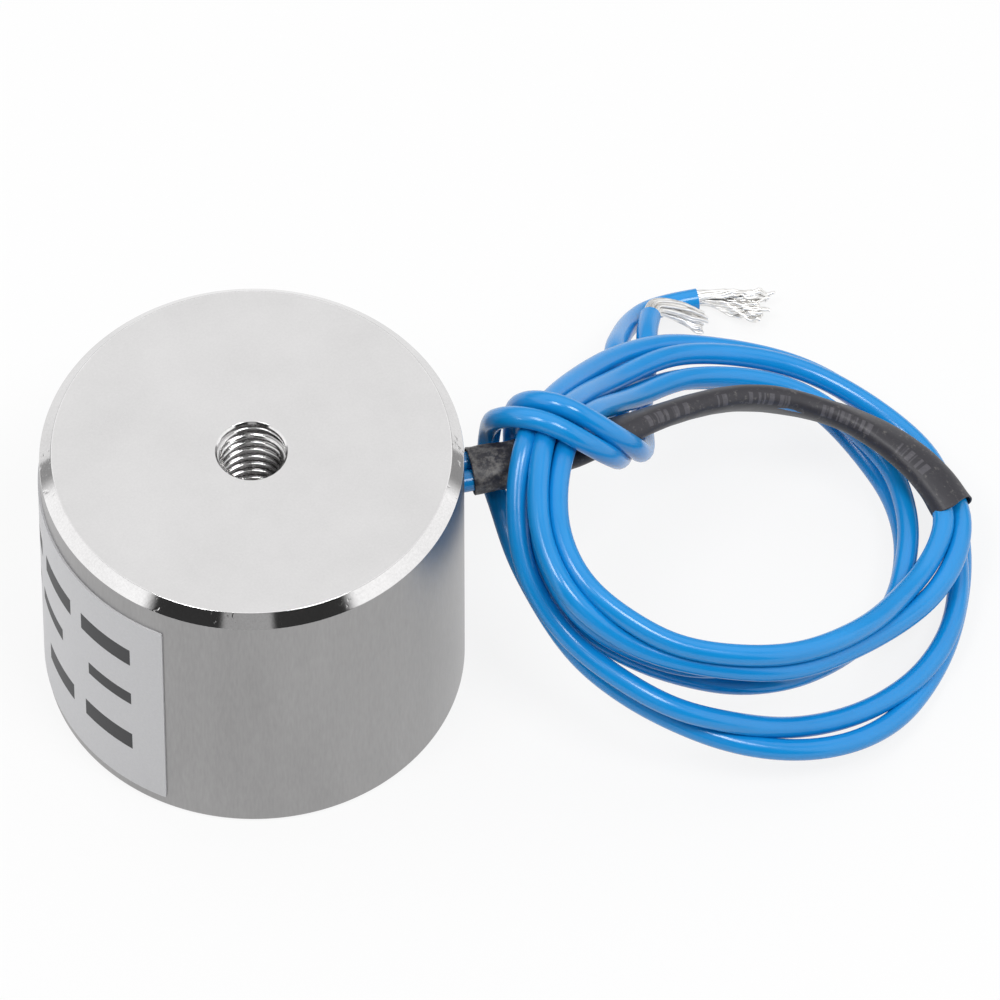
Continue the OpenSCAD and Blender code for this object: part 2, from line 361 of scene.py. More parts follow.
def rounded_profile(corners, steps=4, support=0.04):
    """A section's corners (r, z, rounding) as points, each corner a small arc between two support points."""
    points = []
    count = len(corners)
    for i, (r, z, rounding) in enumerate(corners):
        p = np.array([r, z])
        if rounding == 0:
            points.append(p)
            continue
        before = np.array(corners[i - 1][:2]) - p
        after = np.array(corners[(i + 1) % count][:2]) - p
        u, v = before / np.linalg.norm(before), after / np.linalg.norm(after)
        half = math.acos(np.clip(u @ v, -1, 1)) / 2
        reach = rounding / math.tan(half)
        middle = (u + v) / np.linalg.norm(u + v) * rounding / math.sin(half) + p
        points.append(p + u * (reach + support))
        start, end = p + u * reach - middle, p + v * reach - middle
        for k in range(steps + 1):
            mix = start * (steps - k) / steps + end * k / steps
            points.append(middle + mix / np.linalg.norm(mix) * rounding)
        points.append(p + v * (reach + support))
    return points


# Plain bars printed on the label, in mm: level, height, and the ends of each bar along the film
PRINT_ROWS = [
    (4.4, 1.5, [(-9.4, -4.6), (-3.6, -0.4), (0.6, 4.2), (5.3, 9.3)]),
    (0.3, 1.1, [(-9.4, -6.2), (-5.3, -1.3), (-0.3, 3.1), (5.9, 9.3)]),
    (-4.0, 1.5, [(-9.4, -2.2), (0.9, 4.3), (5.5, 9.3)]),
]

# Faint rows of plain bars along the sleeve, in mm: their height and mean pitch, and the ends of each row
SLEEVE_MARK_HEIGHT = 0.7
SLEEVE_MARK_PITCH = 0.4
SLEEVE_MARKS = [(10.7, 14.2), (16.2, 17.6), (18.9, 22.0), (24.2, 28.4), (30.0, 32.6)]


# Materials
def nickel_plate(name, colour, roughness, marks, streak, clouding, nicks=0.0):
    """Nickel plate over machined steel.

    The plate is thin, so the eye still sees the tool's fine marks under a soft grey gloss: rings on a turned
    face, upright streaks on the ground wall and small nicks on a cut edge, with cloudy patches where the bath
    was uneven.
    """
    material, tree = new_material(name)
    place = object_place(tree)
    axes = add(tree, "ShaderNodeSeparateXYZ", {0: place})
    flat = add(tree, "ShaderNodeCombineXYZ", {0: axes.outputs[0], 1: axes.outputs[1]})
    radius = add(tree, "ShaderNodeVectorMath", {0: flat.outputs[0]}, operation="LENGTH").outputs["Value"]
    across = calc(tree, "ADD", radius, axes.outputs[2])
    drawn = vector_node(tree, "MULTIPLY", place, (1.0, 1.0, streak))
    rings = add(tree, "ShaderNodeTexNoise", {"W": across, "Scale": 1 / (0.05 * MM), "Detail": 3.0},
                noise_dimensions="1D").outputs["Fac"]
    clouds = noise_node(tree, 5, 5.0, 0.6, drawn)
    grain = noise_node(tree, 0.14, 3.0, place=drawn)
    mixed = calc(tree, "MULTIPLY_ADD", grain, 0.6, clouds)
    tint = remap(tree, mixed, 0.55, 1.05)
    dark = tuple(c * (1 - clouding) for c in linear(colour)[:3]) + (1.0,)
    shade = blend(tree, tint, dark, colour)
    uneven = calc(tree, "SUBTRACT", clouds, 0.5)
    cloudy = calc(tree, "MULTIPLY_ADD", uneven, 0.35 * roughness, roughness)
    ringed = calc(tree, "MULTIPLY_ADD", rings, 0.25 * roughness, cloudy)
    relief = calc(tree, "MULTIPLY_ADD", grain, 0.5, rings)
    dents = noise_node(tree, 0.5, 3.0)
    dents = remap(tree, dents, 0.62, 0.74, 0.0, -nicks / marks)
    relief = calc(tree, "ADD", relief, dents)
    bump = bump_node(tree, relief, marks)
    return surface(material, {"Base Color": shade, "Metallic": 1.0, "Roughness": ringed, "Normal": bump})


def lead_insulation():
    """Extruded PVC in light blue: a soft semi-gloss skin with faint rubbed patches."""
    material, tree = new_material("pvc_insulation_blue")
    patches = noise_node(tree, 3, 2.0)
    tint = remap(tree, patches, 0.3, 0.7)
    shade = blend(tree, tint, "#0884ca", "#0b88cf")
    gloss = remap(tree, patches, 0.3, 0.7, 0.20, 0.26)
    return surface(material, {"Base Color": shade, "Roughness": gloss, "IOR": 1.55})


def shrink_tube():
    """Black polyolefin heat-shrink tube: satin skin with fine wrinkles, grey scuffs and faint rows of bars."""
    material, tree = new_material("heat_shrink_polyolefin_black")
    scuffs = noise_node(tree, 0.4, 6.0, 0.75)
    wrinkles = noise_node(tree, 0.35, 3.0)
    along, across = flat_place(tree, "sleeve_mm")
    handled = remap(tree, along, 1.0, 5.0, 0.12, 0.0)
    rubbed = calc(tree, "ADD", scuffs, handled)
    worn = remap(tree, rubbed, 0.56, 0.86)
    shade = blend(tree, worn, "#2c2b31", "#86837f")
    row = calc(tree, "COMPARE", across, 0.0, SLEEVE_MARK_HEIGHT / 2)
    beat = add(tree, "ShaderNodeTexNoise", {"W": along, "Scale": 1 / SLEEVE_MARK_PITCH, "Detail": 1.0},
               noise_dimensions="1D").outputs["Fac"]
    bar = remap(tree, beat, 0.48, 0.54)
    row = calc(tree, "MULTIPLY", row, bar)
    marked = 0.0
    for low, high in SLEEVE_MARKS:
        mark = calc(tree, "COMPARE", along, (low + high) / 2, (high - low) / 2)
        marked = calc(tree, "MULTIPLY_ADD", row, mark, marked)
    rubbed_off = calc(tree, "MULTIPLY", scuffs, marked)
    tone = blend(tree, rubbed_off, shade, "#5f5d63")
    bump = bump_node(tree, wrinkles, 0.012)
    return surface(material, {"Base Color": tone, "Roughness": 0.45, "IOR": 1.5, "Normal": bump})


def tinned_strand():
    """Tin plate on drawn copper wire: bright, slightly warm white metal with dull patches."""
    material, tree = new_material("tinned_copper_strand")
    patches = noise_node(tree, 0.4, 3.0)
    shade = blend(tree, patches, "#e8e5e1", "#fdfdfc")
    gloss = remap(tree, patches, 0.3, 0.7, 0.30, 0.45)
    return surface(material, {"Base Color": shade, "Metallic": 1.0, "Roughness": gloss})


def label_film():
    """Matt silver polyester film: a flat pale grey with a fine even grain and plain printed bars."""
    material, tree = new_material("polyester_film_matt_silver")
    grain = noise_node(tree, 0.15, 3.0)
    shade = blend(tree, grain, "#bbbbbd", "#c9c9cb")
    along, across = flat_place(tree, "film_mm")
    printed = 0.0
    for level, height, bars in PRINT_ROWS:
        row = calc(tree, "COMPARE", across, level, height / 2)
        for low, high in bars:
            bar = calc(tree, "COMPARE", along, (low + high) / 2, (high - low) / 2)
            printed = calc(tree, "MULTIPLY_ADD", row, bar, printed)
    tone = blend(tree, printed, shade, "#2b2b2e")
    bump = bump_node(tree, grain, 0.004)
    return surface(material, {"Base Color": tone, "Metallic": 0.15, "Roughness": 0.5, "Normal": bump})


def cast_resin():
    """Black epoxy poured and levelled: glossy, a little uneven, with dust set in its skin."""
    material, tree = new_material("epoxy_resin_black")
    ripple = noise_node(tree, 1.6, 2.0)
    dust = noise_node(tree, 0.2, 4.0)
    specks = remap(tree, dust, 0.62, 0.75)
    shade = blend(tree, specks, "#17171a", "#3a3a3e")
    gloss = remap(tree, specks, 0.0, 1.0, 0.16, 0.5)
    bump = bump_node(tree, ripple, 0.02)
    return surface(material, {"Base Color": shade, "Roughness": gloss, "IOR": 1.55, "Normal": bump})


def moulded_plastic(name, light, dark, grain_mm, roughness):
    """A moulded or wrapped plastic: two close tones in fine grain under an even satin gloss."""
    material, tree = new_material(name)
    grain = noise_node(tree, grain_mm, 3.0)
    shade = blend(tree, grain, dark, light)
    bump = bump_node(tree, grain, 0.01)
    return surface(material, {"Base Color": shade, "Roughness": roughness, "Normal": bump})


def wound_copper():
    """Enamelled copper wire wound in even layers: warm brown-red rings one wire apart, shade painted between
    turns.
    """
    material, tree = new_material("enamelled_copper_winding")
    place = object_place(tree)
    height = add(tree, "ShaderNodeSeparateXYZ", {0: place}).outputs[2]
    turns = calc(tree, "MULTIPLY", height, 2 * math.pi / (0.3 * MM))
    wires = calc(tree, "SINE", turns)
    shade = remap(tree, wires, -1.0, 1.0)
    # Painted shade in the grooves between turns and painted highlight on their crowns, one ring per wire
    tone = blend(tree, shade, "#6e3413", "#b4662e")
    bump = bump_node(tree, shade, 0.1)
    return surface(material, {"Base Color": tone, "Metallic": 0.8, "Roughness": 0.35, "Normal": bump})


face_steel = nickel_plate("nickel_plated_steel_turned", "#d6d5d5", 0.27, 0.0025, 1.0, 0.09)
# Painted shade: the wall's plate is a darker copy of the face's, standing in for the dim floor that it mirrors
shaded_wall_steel = nickel_plate("nickel_plated_steel_ground_painted_shade", "#a3a2a2", 0.30, 0.002, 0.15, 0.18)
bright_steel = nickel_plate("nickel_plated_steel_bright_cut", "#e4e3e3", 0.05, 0.001, 1.0, 0.18, 0.004)
tapped_steel = nickel_plate("nickel_plated_steel_tapped", "#cfcece", 0.16, 0.001, 1.0, 0.12)
pvc = lead_insulation()
shrink = shrink_tube()
tinned = tinned_strand()
film = label_film()
resin = cast_resin()

place_camera()


# Leads: two wires that share a sleeve and lie in one coil
# In the sleeve the pair turns by an angle in degrees, over shares of the length
SLEEVE_TURN = -54.0
TURN_START, TURN_RISE = 0.10, 0.30
TURN_END, TURN_FALL = 0.58, 0.36
# Routes: steps between two stations, and the spacing in mm and the passes that even out the bends
ROUTE_STEPS = 8
INSIDE_STEPS = 4
EASE_SPACING = 0.5
EASE_PASSES = 6


def coil_point(angle, radius, height):
    """A station of the coil as a route point."""
    a = math.radians(angle)
    return [COIL_CENTRE[0] + radius * math.cos(a), COIL_CENTRE[1] - radius * math.sin(a), height]


def sleeve_sides(points):
    """Direction from one lead to the other inside the sleeve: level at both ends, turned on edge between."""
    p = np.asarray(points, float)
    along = distances(p)
    share = along / along[-1]
    sides = carried_sides(p)
    ups = np.cross(headings(p), sides)
    rise = np.clip((share - TURN_START) / TURN_RISE, 0, 1)
    fall = np.clip((share - TURN_END) / TURN_FALL, 0, 1)
    bell = rise ** 2 * (3 - 2 * rise) * (1 - fall ** 2 * (3 - 2 * fall))
    turn = np.radians(SLEEVE_TURN * bell)[:, None]
    return sides * np.cos(turn) + ups * np.sin(turn)


def lead_route(side, turns, tail, moves):
    """One lead from inside the wall, through the sleeve and the coil, to its stripped end."""
    inside = smooth_route(SLEEVE_ROUTE, INSIDE_STEPS)
    inside = inside + side * LEAD_OFFSET * sleeve_sides(inside)
    hole = np.array(HOLE_START, float) + [0, side * LEAD_OFFSET, 0]
    stations = [coil_point(*station) for station in turns]
    end = np.array(tail, float)
    for number, move in moves.items():
        end[number] += move
    route = smooth_route(np.vstack([hole, inside, stations, end]), ROUTE_STEPS)
    return from_wall(eased(route))


def lead(name, route, node_run, node_tail):
    """An insulated lead as one open curve."""
    piece = open_curve(name, route)
    data = piece.data
    data.splines[0].use_smooth = True
    data.bevel_depth = LEAD_R * MM
    data.bevel_resolution = LEAD_BEVEL
    data.use_fill_caps = True
    data.materials.append(pvc)
    return dress(piece, "lead_pvc", node_run, node_tail, "lead_coil")


route_a = lead_route(1, TURNS_A, TAIL_A, TIE_A)
route_b = lead_route(-1, TURNS_B, TAIL_B[:-1], TIE_B)
lead_a = lead("lead_a", route_a, "lead_run_a", "lead_tail_a")
lead_b = lead("lead_b", route_b, "lead_run_b", "lead_tail_b")


# Sleeve: a shrunk tube that hugs the two leads, with a loose mouth
SLEEVE_HALF_W = 1.43
SLEEVE_HALF_H = 0.80
SLEEVE_WALL = 0.12
SLEEVE_SIDES = 48
SLEEVE_STEPS = 14
# Shares of the length where the mouth begins to open and where the loose root ends
SLEEVE_MOUTH = 0.86
SLEEVE_ROOT = 0.22
# Rims in mm, and a way across that no row of bars reaches
SLEEVE_LIP = 0.05
SLEEVE_RAGGED = 0.10
OFF_MARKS = 9.0
SLEEVE_MARK_SIDE = np.array([-0.1, -0.6, 0.8])


def sleeve_section(share, along, angle):
    """Half width and height of the sleeve, in mm, at a share of its length and an angle round it."""
    c, s = math.cos(angle), math.sin(angle)
    mouth = max(0.0, (share - SLEEVE_MOUTH) / (1 - SLEEVE_MOUTH)) ** 2
    root = max(0.0, (SLEEVE_ROOT - share) / SLEEVE_ROOT)
    width = SLEEVE_HALF_W * (1 + 0.05 * mouth + 0.04 * root)
    height = SLEEVE_HALF_H * (1 + 0.30 * mouth + 0.45 * root)
    waist = -0.06 * (1 - mouth) * (1 - root) * abs(s) ** 6
    ripple = 0.012 * math.sin(2.1 * along + 2 * angle) * math.sin(0.73 * along + angle)
    crease = 0.03 * root * math.sin(7 * angle + 3 * along)
    bulge = 1 + waist + ripple + crease
    power = 0.85
    return (width * bulge * math.copysign(abs(c) ** power, c),
            height * bulge * math.copysign(abs(s) ** power, s))


def sleeve_tube():
    """The sleeve as a closed skin: outside, far rim, inside, near rim, with a map in mm along and round it."""
    route = from_wall(smooth_route(SLEEVE_ROUTE, SLEEVE_STEPS))
    along = distances(route)
    forward, sides = headings(route), sleeve_sides(route)
    ups = np.cross(forward, sides)
    last = len(route) - 1
    loops = [(i, 0.0) for i in range(last + 1)]
    loops += [(last, 0.5)] + [(i, 1.0) for i in range(last, -1, -1)] + [(0, 0.5)]
    vertices, faces, flat = [], [], []
    for i, depth in loops:
        lip = SLEEVE_LIP if depth == 0.5 else 0.0
        push = forward[i] * (lip if i == last else -lip)
        for k in range(SLEEVE_SIDES):
            angle = 2 * math.pi * k / SLEEVE_SIDES
            w, h = sleeve_section(along[i] / along[-1], along[i], angle)
            w -= depth * SLEEVE_WALL * math.cos(angle)
            h -= depth * SLEEVE_WALL * math.sin(angle)
            ragged = SLEEVE_RAGGED * math.sin(3 * angle + 1) if i == last else 0.0
            out = sides[i] * w + ups[i] * h
            vertices.append(route[i] + out + push + forward[i] * ragged)
            level = np.cross(forward[i], SLEEVE_MARK_SIDE)
            marked_side = out @ SLEEVE_MARK_SIDE > 0
            flat.append((along[i], out @ level / np.linalg.norm(level) if marked_side else OFF_MARKS))
    count = len(loops)
    for i in range(count):
        for k in range(SLEEVE_SIDES):
            a, b = i * SLEEVE_SIDES + k, i * SLEEVE_SIDES + (k + 1) % SLEEVE_SIDES
            c = (i + 1) % count * SLEEVE_SIDES + (k + 1) % SLEEVE_SIDES
            d = (i + 1) % count * SLEEVE_SIDES + k
            faces.append((a, d, c, b))
    piece = mesh_object("lead_sleeve_tube", vertices, faces, shrink)
    lay_flat(piece, "sleeve_mm", flat)
    tidy_mesh(piece)
    return dress(piece, "heat_shrink", "lead_sleeve")


sleeve = sleeve_tube()


# Stripped ends: Geometry Nodes copy a guide curve into twisted, frayed strands
WHOLE_NUMBERS = ("Strands", "Seed")


def socket_named(tree, name):
    """Identifier of a tree's named input."""
    return next(i.identifier for i in tree.interface.items_tree if i.name == name and i.in_out == "INPUT")


def geometry_tree(name, carrier, sizes, made):
    """A node tree with a carrier and sizes as inputs: the tree, its inputs and its output node."""
    tree = bpy.data.node_groups.new(name, "GeometryNodeTree")
    tree.interface.new_socket(carrier, in_out="INPUT", socket_type="NodeSocketGeometry")
    for size in sizes:
        kind = "NodeSocketInt" if size in WHOLE_NUMBERS else "NodeSocketFloat"
        tree.interface.new_socket(size, in_out="INPUT", socket_type=kind)
    tree.interface.new_socket(made, in_out="OUTPUT", socket_type="NodeSocketGeometry")
    return tree, tree.nodes.new("NodeGroupInput").outputs, tree.nodes.new("NodeGroupOutput")


def strand_tree():
    """Strands round a guide curve that spread from a root width to a frayed width."""
    tree, given, result = geometry_tree("frayed_strands", "Guide", (
        "Strands", "Strand radius", "Root radius", "Fray width", "Fray height", "Wander", "Twist", "Shortest",
        "Seed"), "Strands mesh")
    guide = add(tree, "GeometryNodeResampleCurve", {"Curve": given["Guide"], "Count": 40})
    copies = add(tree, "GeometryNodeDuplicateElements",
                 {"Geometry": guide.outputs[0], "Amount": given["Strands"]}, domain="SPLINE")
    number = copies.outputs["Duplicate Index"]

    def drawn(low, high, shift):
        seed = calc(tree, "ADD", given["Seed"], shift)
        sizes = {2: low, 3: high, "ID": number, "Seed": seed}
        return add(tree, "FunctionNodeRandomValue", sizes, data_type="FLOAT").outputs[1]

    turn = drawn(0.0, 2 * math.pi, 0.0)
    spread = drawn(0.05, 1.0, 17.0)
    ending = drawn(given["Shortest"], 1.0, 31.0)
    share = add(tree, "GeometryNodeSplineParameter").outputs["Factor"]
    opened = add(tree, "ShaderNodeMapRange", {0: share, 1: 0.12, 2: 0.85, 3: 0.0, 4: 1.0},
                 interpolation_type="SMOOTHSTEP").outputs[0]
    reach = calc(tree, "SQRT", spread)
    angle = calc(tree, "MULTIPLY_ADD", share, given["Twist"], turn)
    cosine = calc(tree, "COSINE", angle)
    sine = calc(tree, "SINE", angle)
    wide = remap(tree, opened, 0.0, 1.0, given["Root radius"], given["Fray width"])
    high = remap(tree, opened, 0.0, 1.0, given["Root radius"], given["Fray height"])
    tangent = add(tree, "GeometryNodeInputTangent").outputs[0]
    side = vector_node(tree, "CROSS_PRODUCT", tangent, (0.0, 0.0, 1.0))
    side = vector_node(tree, "NORMALIZE", side)
    up = vector_node(tree, "CROSS_PRODUCT", side, tangent)
    out_side = calc(tree, "MULTIPLY", calc(tree, "MULTIPLY", cosine, wide), reach)
    out_up = calc(tree, "MULTIPLY", calc(tree, "MULTIPLY", sine, high), reach)
    move_side = add(tree, "ShaderNodeVectorMath", {0: side, "Scale": out_side}, operation="SCALE").outputs[0]
    move_up = add(tree, "ShaderNodeVectorMath", {0: up, "Scale": out_up}, operation="SCALE").outputs[0]
    spot = add(tree, "GeometryNodeInputPosition").outputs[0]
    shift = add(tree, "ShaderNodeCombineXYZ", {0: turn, 1: spread}).outputs[0]
    sample = vector_node(tree, "MULTIPLY_ADD", spot, (1000.0, 1000.0, 1000.0), shift)
    noise = add(tree, "ShaderNodeTexNoise", {"Vector": sample, "Scale": 1.0, "Detail": 1.0}).outputs["Color"]
    noise = vector_node(tree, "SUBTRACT", noise, (0.5, 0.5, 0.5))
    stray = calc(tree, "MULTIPLY", opened, given["Wander"])
    wander = add(tree, "ShaderNodeVectorMath", {0: noise, "Scale": stray}, operation="SCALE").outputs[0]
    move = vector_node(tree, "ADD", move_side, move_up)
    move = vector_node(tree, "ADD", move, wander)
    strands = add(tree, "GeometryNodeSetPosition", {"Geometry": copies.outputs["Geometry"], "Offset": move})
    cut = add(tree, "GeometryNodeTrimCurve", {"Curve": strands.outputs[0], 3: ending}, mode="FACTOR")
    ring = add(tree, "GeometryNodeCurvePrimitiveCircle", {"Resolution": 8, "Radius": given["Strand radius"]})
    skin = add(tree, "GeometryNodeCurveToMesh", {"Curve": cut.outputs[0], "Profile Curve": ring.outputs[0],
                                                 "Fill Caps": True})
    soft = add(tree, "GeometryNodeSetShadeSmooth", {"Geometry": skin.outputs[0]})
    real = add(tree, "GeometryNodeRealizeInstances", {"Geometry": soft.outputs[0]})
    coated = add(tree, "GeometryNodeSetMaterial", {"Geometry": real.outputs[0], "Material": tinned})
    tree.links.new(coated.outputs[0], result.inputs[0])
    return tree


def grown(name, carrier, tree, sizes):
    """Runs a node tree on a carrier object and keeps the result as a plain mesh."""
    modifier = carrier.modifiers.new(tree.name, "NODES")
    modifier.node_group = tree
    for key, value in sizes.items():
        modifier[socket_named(tree, key)] = value
    bpy.context.view_layer.update()
    made = carrier.evaluated_get(bpy.context.evaluated_depsgraph_get())
    mesh = bpy.data.meshes.new_from_object(made)
    mesh.name = name
    carrier.modifiers.remove(modifier)
    bpy.data.objects.remove(carrier)
    return linked(name, mesh)


def guide_curve(name, points):
    """A carrier curve along a route."""
    return open_curve(name, from_wall(smooth_route(points, ROUTE_STEPS)))


strands_tree = strand_tree()
strand_sizes = {"Strands": 34, "Strand radius": 0.1 * MM, "Root radius": 0.48 * MM}
strands_a = grown("strands_a_frayed", guide_curve("guide_a", STRANDS_A), strands_tree, {
    **strand_sizes, "Fray width": 1.1 * MM, "Fray height": 0.6 * MM, "Wander": 1.3 * MM,
    "Twist": 2.2, "Shortest": 0.78, "Seed": 4})
strands_b = grown("strands_b_frayed", guide_curve("guide_b", STRANDS_B), strands_tree, {
    **strand_sizes, "Fray width": 0.75 * MM, "Fray height": 0.45 * MM, "Wander": 0.3 * MM,
    "Twist": 1.4, "Shortest": 0.86, "Seed": 9})
dress(strands_a, "tinned_copper", "strands_a")
dress(strands_b, "tinned_copper", "strands_b")


# Pot: a turned steel cup with micro-rounded edges
SEGMENTS = 240
WINDOW_SEGMENTS = 9
WINDOW_HALF_H = 3.0
INNER_HALF_H = 2.0
WINDOW_LEVELS = 6
PATCH_RINGS = 5
EDGE = 0.05
MOUTH_EDGE = 0.04
# Faces are told apart by how far up they look and how near the skin they lie
CHAMFER_SLOPE, SLOPE_SPREAD = 0.7071, 0.35
UPRIGHT = 0.3
SKIN = 0.1
BRIGHT_SLOT, WALL_SLOT = 1, 2


def pot_profile():
    """The pot's half section, with its levels on both sides of the wall at the lead hole."""
    low, high = LEAD_Z - WINDOW_HALF_H, LEAD_Z + WINDOW_HALF_H
    outer = [(POT_R, z, 0) for z in np.linspace(low, high, WINDOW_LEVELS + 1)]
    inner_levels = np.linspace(LEAD_Z + INNER_HALF_H, LEAD_Z - INNER_HALF_H, WINDOW_LEVELS + 1)
    inner = [(GROOVE_R, z, 0) for z in inner_levels]
    thread_top = POT_H - (MOUTH_R - THREAD_MAJOR_R)
    corners = [
        (0, 0, 0), (POLE_R - FACE_CHAMFER, 0, EDGE), (POLE_R, FACE_CHAMFER, EDGE), (POLE_R, GROOVE_TOP, EDGE),
        (GROOVE_R, GROOVE_TOP, 0), *inner, (GROOVE_R, FACE_CHAMFER, EDGE), (GROOVE_R + FACE_CHAMFER, 0, EDGE),
        (POT_R - FACE_CHAMFER, 0, EDGE), (POT_R, FACE_CHAMFER, EDGE), *outer,
        (POT_R, POT_H - BACK_CHAMFER, EDGE), (POT_R - BACK_CHAMFER, POT_H, EDGE),
        (MOUTH_R, POT_H, MOUTH_EDGE), (THREAD_MAJOR_R, thread_top, MOUTH_EDGE),
        (THREAD_MAJOR_R, TAP_FLOOR + 0.3, 0), (THREAD_MINOR_R, TAP_FLOOR, 0), (0, TAP_FLOOR - 1.0, 0),
    ]
    return rounded_profile(corners)


def hole_patch(rings, rows, radius, hole_r, vertices, faces):
    """Fills a window in a spun wall with rings that close in on a round hole, and returns the hole's loop."""
    half = WINDOW_SEGMENTS
    columns = [k % SEGMENTS for k in range(-half, half + 1)]
    loop = [rings[rows[0]][k] for k in columns]
    loop += [rings[r][columns[-1]] for r in rows[1:]]
    loop += [rings[rows[-1]][k] for k in reversed(columns[:-1])]
    loop += [rings[r][columns[0]] for r in reversed(rows[1:-1])]
    edge = [vertices[v] for v in loop]
    angles = [math.atan2(p[2] - LEAD_Z, p[1]) for p in edge]
    before = loop
    for step in range(1, PATCH_RINGS + 1):
        share = step / PATCH_RINGS
        now = []
        for p, angle in zip(edge, angles):
            y = p[1] * (1 - share) + hole_r * math.cos(angle) * share
            z = p[2] * (1 - share) + (LEAD_Z + hole_r * math.sin(angle)) * share
            now.append(len(vertices))
            vertices.append((math.sqrt(radius ** 2 - y ** 2), y, z))
        join_loops(before, now, faces)
        before = now
    return before, angles


def join_loops(first, second, faces):
    """Quads between two closed loops of vertex numbers."""
    count = len(first)
    for k in range(count):
        n = (k + 1) % count
        faces.append((first[k], first[n], second[n], second[k]))


def turn_between(first, second):
    """The shorter way from one angle to another."""
    return math.remainder(second - first, 2 * math.pi)


def level_row(profile, radius, z):
    """Number of the profile point on a wall at a level."""
    return min(range(len(profile)), key=lambda i: abs(profile[i][0] - radius) + abs(profile[i][1] - z))


def pot():
    """The pot, spun from its section, with the lead hole cut through its wall."""
    profile = pot_profile()
    vertices, rings, faces = [], [], []
    for r, z in profile:
        if r < 1e-6:
            rings.append([len(vertices)] * SEGMENTS)
            vertices.append((0.0, 0.0, z))
            continue
        rings.append(list(range(len(vertices), len(vertices) + SEGMENTS)))
        for k in range(SEGMENTS):
            a = 2 * math.pi * k / SEGMENTS
            vertices.append((r * math.cos(a), r * math.sin(a), z))
    outer = [level_row(profile, POT_R, LEAD_Z + end * WINDOW_HALF_H) for end in (-1, 1)]
    inner = [level_row(profile, GROOVE_R, LEAD_Z + end * INNER_HALF_H) for end in (1, -1)]
    open_columns = {k % SEGMENTS for k in range(-WINDOW_SEGMENTS, WINDOW_SEGMENTS)}
    for i in range(len(profile) - 1):
        in_window = outer[0] <= i < outer[1] or inner[0] <= i < inner[1]
        for k in range(SEGMENTS):
            if in_window and k in open_columns:
                continue
            n = (k + 1) % SEGMENTS
            quad = [rings[i][k], rings[i][n], rings[i + 1][n], rings[i + 1][k]]
            face = list(dict.fromkeys(quad))
            if len(face) > 2:
                faces.append(tuple(face))
    mouth_r = LEAD_HOLE_R + LEAD_HOLE_CHAMFER
    mouth, angles = hole_patch(rings, list(range(outer[0], outer[1] + 1)), POT_R, mouth_r, vertices, faces)
    inside, inside_angles = hole_patch(
        rings, list(range(inner[0], inner[1] + 1)), GROOVE_R, LEAD_HOLE_R, vertices, faces)
    throat = []
    for angle in angles:
        y, z = LEAD_HOLE_R * math.cos(angle), LEAD_Z + LEAD_HOLE_R * math.sin(angle)
        throat.append(len(vertices))
        vertices.append((math.sqrt(POT_R ** 2 - y ** 2) - LEAD_HOLE_CHAMFER, y, z))
    join_loops(mouth, throat, faces)
    count = len(inside)
    first = min(range(count), key=lambda i: abs(turn_between(angles[0], inside_angles[i])))
    onward = turn_between(inside_angles[first], inside_angles[(first + 1) % count])
    step = 1 if onward * turn_between(angles[0], angles[1]) > 0 else -1
    end = [inside[(first + step * k) % count] for k in range(count)]
    join_loops(throat, end, faces)
    piece = mesh_object("pot_turned", vertices, faces, face_steel)
    piece.data.materials.append(bright_steel)
    piece.data.materials.append(shaded_wall_steel)
    tidy_mesh(piece)
    for face in piece.data.polygons:
        r = math.hypot(face.center[0], face.center[1]) / MM
        z = face.center[2] / MM
        slope = face.normal[2]
        at_rim = r > POT_R - BACK_CHAMFER - SKIN and z > POT_H - 1
        chamfered = at_rim and abs(slope - CHAMFER_SLOPE) < SLOPE_SPREAD
        in_hole = r < MOUTH_R + 0.02 and z > TAP_FLOOR - 2
        if chamfered or in_hole:
            face.material_index = BRIGHT_SLOT
        if r > POT_R - SKIN and abs(slope) < UPRIGHT:
            face.material_index = WALL_SLOT
    dress(piece, "plated_steel", "pot_body")


pot()


# Thread in the back: Geometry Nodes sweep a trapezoid ridge along a helix
def thread_tree():
    """A right-hand internal ridge that fades out at both ends."""
    tree, given, result = geometry_tree("internal_thread", "Carrier", (
        "Pitch", "Turns", "Major radius", "Ridge height", "Ridge foot", "Ridge crest", "Low end"), "Thread")
    rise = calc(tree, "MULTIPLY", given["Pitch"], given["Turns"])
    helix = add(tree, "GeometryNodeCurveSpiral", {
        "Resolution": 72, "Rotations": given["Turns"], "Start Radius": given["Major radius"],
        "End Radius": given["Major radius"], "Height": rise})
    lift = add(tree, "ShaderNodeCombineXYZ", {2: given["Low end"]})
    raised = add(tree, "GeometryNodeTransform", {"Geometry": helix.outputs[0], "Translation": lift.outputs[0]})
    level = add(tree, "GeometryNodeSetCurveNormal", {"Curve": raised.outputs[0]}, mode="Z_UP")
    share = add(tree, "GeometryNodeSplineParameter").outputs["Factor"]
    low = remap(tree, share, 0.0, 0.05, 0.05, 1.0)
    top = remap(tree, share, 0.95, 1.0, 1.0, 0.05)
    fade = calc(tree, "MINIMUM", low, top)
    ridge = add(tree, "GeometryNodeCurvePrimitiveQuadrilateral", {
        "Height": given["Ridge height"], "Bottom Width": given["Ridge foot"],
        "Top Width": given["Ridge crest"], "Offset": 0.0}, mode="TRAPEZOID")
    skin = add(tree, "GeometryNodeCurveToMesh", {
        "Curve": level.outputs[0], "Profile Curve": ridge.outputs[0], "Scale": fade, "Fill Caps": True})
    real = add(tree, "GeometryNodeRealizeInstances", {"Geometry": skin.outputs[0]})
    coated = add(tree, "GeometryNodeSetMaterial", {"Geometry": real.outputs[0], "Material": tapped_steel})
    tree.links.new(coated.outputs[0], result.inputs[0])
    return tree


